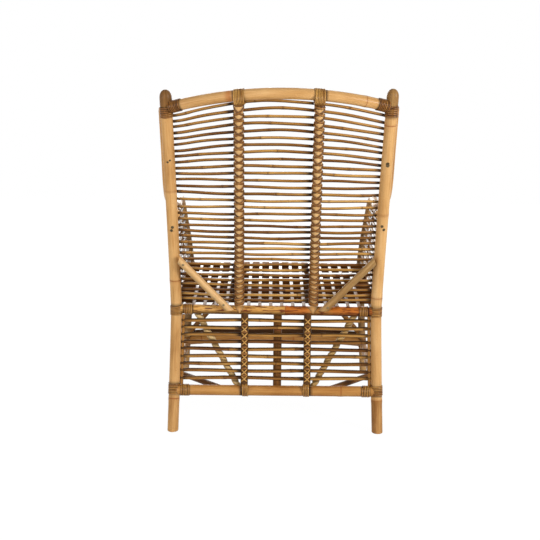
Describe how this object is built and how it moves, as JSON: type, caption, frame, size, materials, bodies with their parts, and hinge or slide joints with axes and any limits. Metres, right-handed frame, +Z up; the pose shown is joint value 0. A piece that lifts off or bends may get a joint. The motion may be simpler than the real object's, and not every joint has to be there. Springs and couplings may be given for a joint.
{
  "type": "rattan armchair",
  "caption": "High-back rattan lounge armchair with bent cane frame, slatted bowed back, slatted sides and base, open seat lattice and wound peel bindings.",
  "frame": {"origin": "on the floor, under the middle of the chair's bounding box", "axes": "+Z up; the chair faces -Y, so its back is on the +Y side; +X is the sitter's left"},
  "size_m": [0.7098, 0.844, 1.012],
  "materials": {
    "pale_cane": "varnished skin-on rattan pole, pale honey",
    "honey_cane": "varnished rattan cane, honey brown",
    "dark_cane": "aged rattan cane, darker brown",
    "peel": "glossy split rattan peel, olive tan"
  },
  "bodies": {
    "root": {"rear_post_left": "pale_cane", "rear_post_right": "pale_cane", "arm_pole_left": "pale_cane", "arm_pole_right": "pale_cane", "crest_rail": "pale_cane", "wing_rail_left": "pale_cane", "wing_rail_right": "pale_cane", "rear_seat_rail": "pale_cane", "rear_stretcher": "pale_cane", "front_seat_rail": "honey_cane", "front_stretcher": "honey_cane", "side_seat_rail_left": "honey_cane", "side_seat_rail_right": "honey_cane", "side_stretcher_left": "honey_cane", "side_stretcher_right": "honey_cane", "back_brace_left": "pale_cane", "back_brace_right": "pale_cane", "front_brace_left": "dark_cane", "front_brace_right": "dark_cane", "corner_brace_left": "dark_cane", "corner_brace_right": "dark_cane", "liner_cane_left": "honey_cane", "liner_cane_right": "honey_cane", "lower_rear_panel": "honey_cane", "rear_centre_strut": "dark_cane", "base_brace_left": "honey_cane", "base_brace_right": "honey_cane", "back_panel": "honey_cane", "side_panel_left": "dark_cane", "side_panel_right": "dark_cane", "seat_deck": "honey_cane", "ear_binding_left": "peel", "ear_binding_right": "peel", "crest_binding_left": "peel", "crest_binding_right": "peel", "seat_rail_binding_left": "peel", "seat_rail_binding_right": "peel", "stretcher_binding_left": "peel", "stretcher_binding_right": "peel", "seat_rail_lashing_left": "peel", "seat_rail_lashing_right": "peel", "stretcher_lashing_left": "peel", "stretcher_lashing_right": "peel", "rib_strap_left": "peel", "rib_strap_right": "peel", "lower_rib_strap_left": "peel", "lower_rib_strap_right": "peel", "rib_lashing_left": "peel", "rib_lashing_right": "peel", "lower_rib_lashing_left": "peel", "lower_rib_lashing_right": "peel", "base_brace_wrap_left": "peel", "base_brace_wrap_right": "peel"}
  },
  "joints": []
}
